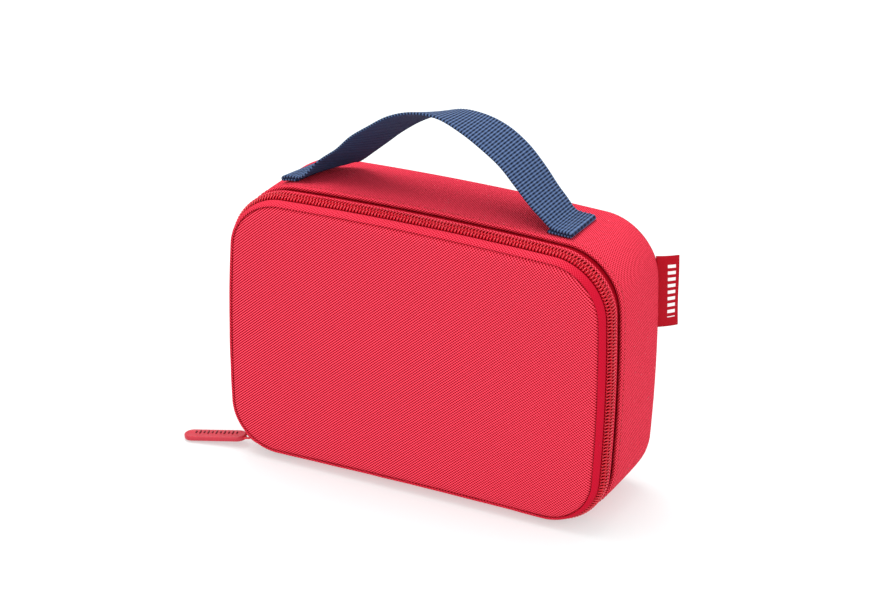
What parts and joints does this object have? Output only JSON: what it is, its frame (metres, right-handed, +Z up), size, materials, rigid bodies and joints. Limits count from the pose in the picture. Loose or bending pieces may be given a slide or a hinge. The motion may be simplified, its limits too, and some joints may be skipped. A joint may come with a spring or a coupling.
{
  "type": "soft lunch box",
  "caption": "Soft-sided zipped lunch box with a padded fold-down front lid, foam and wipe-clean lining, woven tag and an arched webbing carrying handle on top.",
  "frame": {"origin": "middle of the underside that the box stands on", "axes": "+X to the right along the width, +Y from the zipped front to the back, +Z up through the handle"},
  "size_m": [0.2674, 0.0803, 0.2111],
  "materials": {
    "red_fabric": "matt woven polyester",
    "red_tape": "ribbed woven tape",
    "red_nylon": "satin nylon",
    "red_soft_plastic": "satin soft plastic",
    "navy_webbing": "cross-ribbed webbing",
    "grey_lining": "coated wipe-clean lining",
    "grey_binding": "woven binding tape",
    "white_foam": "closed-cell foam"
  },
  "bodies": {
    "case": {"body_gusset": "red_fabric", "back_panel": "red_fabric", "body_gusset_foam": "white_foam", "back_foam": "white_foam", "body_lining": "grey_lining", "body_seam_binding": "grey_binding", "body_zip_tape": "red_tape", "body_zip_coil": "red_nylon", "zip_end_stop_body": "red_nylon", "hinge_strip": "red_fabric", "side_tag": "red_tape", "handle_end_left": "navy_webbing", "handle_end_right": "navy_webbing"},
    "lid": {"lid_front_panel": "red_fabric", "lid_gusset": "red_fabric", "lid_foam": "white_foam", "lid_lining": "grey_lining", "lid_seam_binding": "grey_binding", "lid_zip_tape": "red_tape", "lid_zip_coil": "red_nylon", "zip_end_stop_lid": "red_nylon"},
    "slider": {"zip_slider": "red_nylon"},
    "pull": {"pull_link": "red_nylon", "pull_tab": "red_soft_plastic"},
    "handle": {"handle_webbing": "navy_webbing"}
  },
  "joints": [
    {"name": "lid_hinge", "type": "hinge", "parent": "case", "child": "lid", "pos_m": [0, -0.0355, 0.0035], "axis": [1, 0, 0], "range_deg": [0, 90]},
    {"name": "slider_travel", "type": "hinge", "parent": "case", "child": "slider", "pos_m": [-0.08195, -0.0289, 0.03321], "axis": [0, 1, 0], "range_deg": [0, 43]},
    {"name": "pull_swing", "type": "hinge", "parent": "slider", "child": "pull", "pos_m": [-0.1035, -0.0269, 0.00526], "axis": [-0.2672, 0.9636, 0], "range_deg": [-125, 36]},
    {"name": "handle_lean", "type": "hinge", "parent": "case", "child": "handle", "pos_m": [-0.0052, 0.004, 0.16279], "axis": [1, 0, 0], "range_deg": [-50, 50], "stiffness_Nm_per_rad": 0.02}
  ]
}
